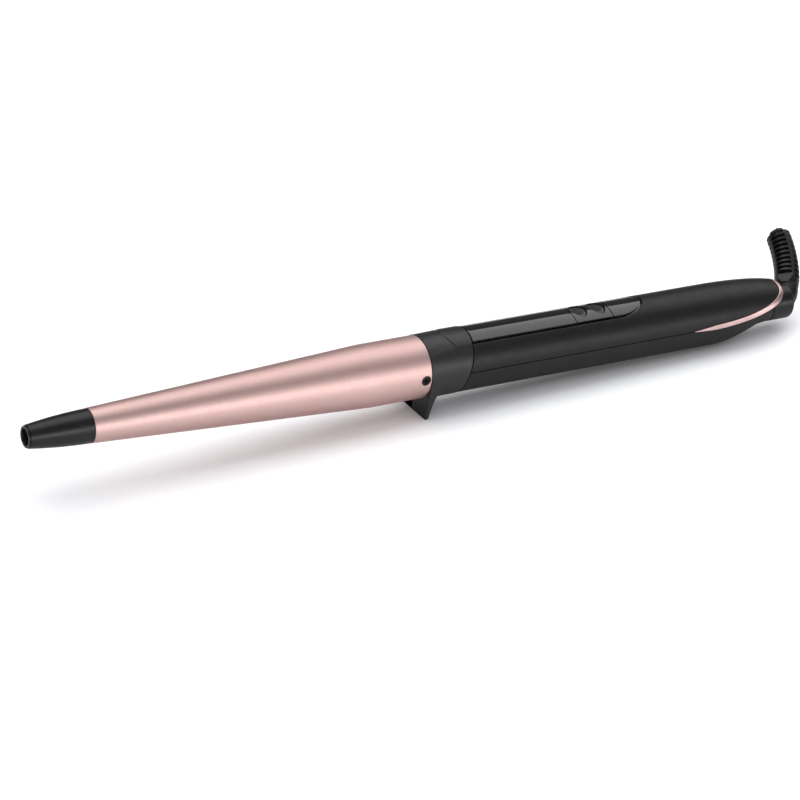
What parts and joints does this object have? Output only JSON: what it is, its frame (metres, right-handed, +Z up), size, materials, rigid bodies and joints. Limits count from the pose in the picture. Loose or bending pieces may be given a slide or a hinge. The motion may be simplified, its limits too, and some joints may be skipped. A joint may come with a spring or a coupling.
{
  "type": "curling wand",
  "caption": "Conical hair-curling wand with a tapered metallic barrel, footed collar, two-shell handle with push buttons and a swivelling cord outlet.",
  "frame": {"origin": "on the wand's axis, where the barrel meets the collar", "axes": "+X along the wand towards the cord, -X towards the cool tip, +Z up through the buttons, foot below"},
  "size_m": [0.3599, 0.0402, 0.0418],
  "materials": {
    "barrel_pink": "satin rose metallic coating",
    "matte_black": "soft-touch matte",
    "collar_black": "fine satin",
    "tip_black": "satin",
    "gloss_black": "gloss",
    "trim_rose": "metallised satin",
    "button_black": "semi-gloss",
    "boot_rubber": "satin",
    "cord_rubber": "matte",
    "hub_black": "satin",
    "steel": "brushed",
    "black_screw": "blackened",
    "spring_steel": "brushed",
    "spreader_alu": "extruded",
    "ceramic": null,
    "mica": null,
    "phenolic": "moulded phenolic",
    "sleeve_fabric": "braided glass fibre",
    "lead_white": "silicone",
    "lead_brown": "satin",
    "copper": null,
    "brass": "sprung brass",
    "pcb_green": "solder mask",
    "part_black": "moulded",
    "part_yellow": "moulded",
    "part_blue": "sleeved",
    "part_green": "lacquered",
    "sensor_glass": "glass-coated",
    "plunger_red": "moulded",
    "nylon_white": "acetal"
  },
  "bodies": {
    "wand": {"barrel": "barrel_pink", "barrel_screws": "black_screw", "barrel_holder": "phenolic", "cool_tip": "tip_black", "tip_screw": "steel", "tip_plug": "steel", "heat_spreader_upper": "spreader_alu", "heat_spreader_lower": "spreader_alu", "heater_plate": "ceramic", "mica_sheets": "mica", "clamp_spring": "spring_steel", "thermal_fuse": "ceramic", "temperature_sensor": "sensor_glass", "heater_leads": "lead_white", "insulating_sleeve": "sleeve_fabric", "collar": "collar_black", "upper_shell": "matte_black", "lower_shell": "matte_black", "rear_trim": "trim_rose", "fascia": "gloss_black", "button_panel": "gloss_black", "tact_switches": "part_black", "circuit_board": "pcb_green", "display_module": "part_black", "film_capacitor": "part_yellow", "smoothing_capacitor": "part_blue", "triac": "part_black", "microcontroller": "part_black", "fuse_resistor": "part_green", "board_screws": "steel", "shell_screws": "steel", "mains_leads": "lead_brown", "brush_holder": "nylon_white", "brush_contacts": "brass", "swivel_bush": "nylon_white"},
    "cord_outlet": {"swivel_hub": "hub_black", "swivel_clip": "spring_steel", "slip_ring_core": "nylon_white", "slip_rings": "copper", "strain_relief": "boot_rubber", "cord": "cord_rubber", "cord_conductors": "copper"},
    "power_key": {"power_button": "button_black", "power_plunger": "plunger_red"},
    "temperature_key": {"temperature_button": "button_black", "temperature_plunger": "plunger_red"}
  },
  "joints": [
    {"name": "cord_swivel", "type": "hinge", "parent": "wand", "child": "cord_outlet", "pos_m": [0.16, 0, 0], "axis": [1, 0, 0], "continuous": true},
    {"name": "power_press", "type": "slide", "parent": "wand", "child": "power_key", "axis": [0, 0, -1], "range_m": [0, 0.0006], "stiffness_N_per_m": 300},
    {"name": "temperature_press", "type": "slide", "parent": "wand", "child": "temperature_key", "axis": [0, 0, -1], "range_m": [0, 0.0006], "stiffness_N_per_m": 300}
  ]
}
